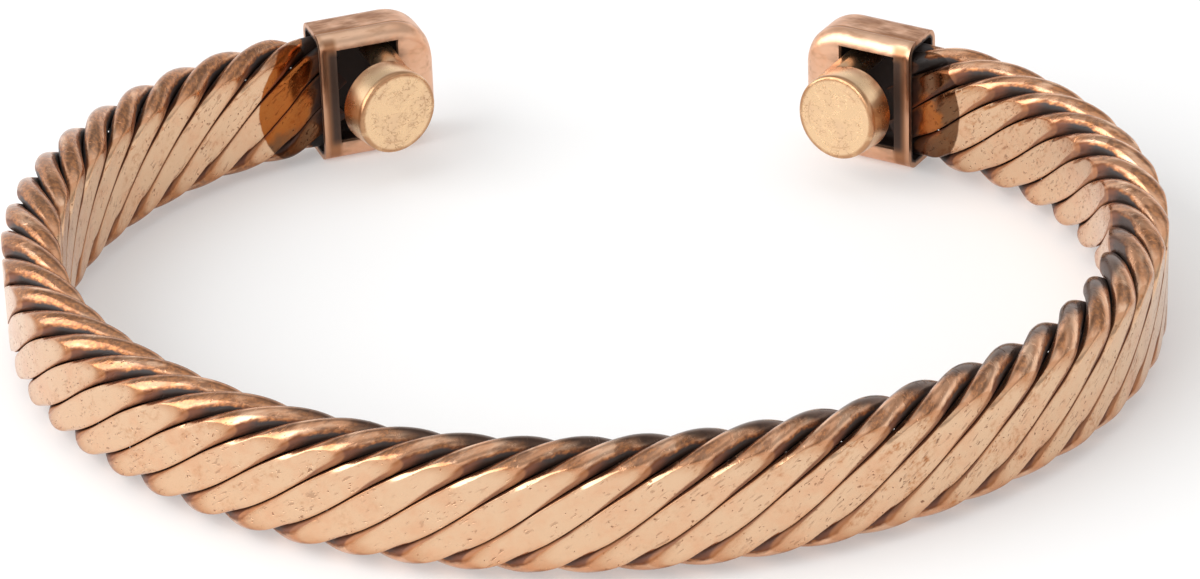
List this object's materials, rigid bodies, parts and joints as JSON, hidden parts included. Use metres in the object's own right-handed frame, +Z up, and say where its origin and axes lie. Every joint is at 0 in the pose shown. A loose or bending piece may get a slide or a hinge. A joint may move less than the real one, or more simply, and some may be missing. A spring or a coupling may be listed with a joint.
{
  "type": "magnetic bracelet",
  "caption": "Open cuff bracelet of twisted copper strands rolled flat, with end caps that each hold a stepped magnet facing the wrist.",
  "frame": {"origin": "centre of the bounding box at its base, which is the floor that the two end caps stand on", "axes": "+Z up through the wrist hollow, +Y towards the gap between the end caps, +X across the wrist"},
  "size_m": [0.0652, 0.0534, 0.0082],
  "materials": {
    "strand_copper": "rolled copper, polished flats over dark patina in the grooves",
    "cap_copper": "satin copper sheet",
    "magnet_plating": "pale gold coloured plating with fine scratches"
  },
  "bodies": {
    "root": {"strand_1": "strand_copper", "strand_2": "strand_copper", "strand_3": "strand_copper", "strand_4": "strand_copper", "strand_5": "strand_copper", "strand_6": "strand_copper", "strand_7": "strand_copper", "strand_8": "strand_copper", "cap_left": "cap_copper", "cap_right": "cap_copper", "magnet_left": "magnet_plating", "magnet_right": "magnet_plating"}
  },
  "joints": []
}
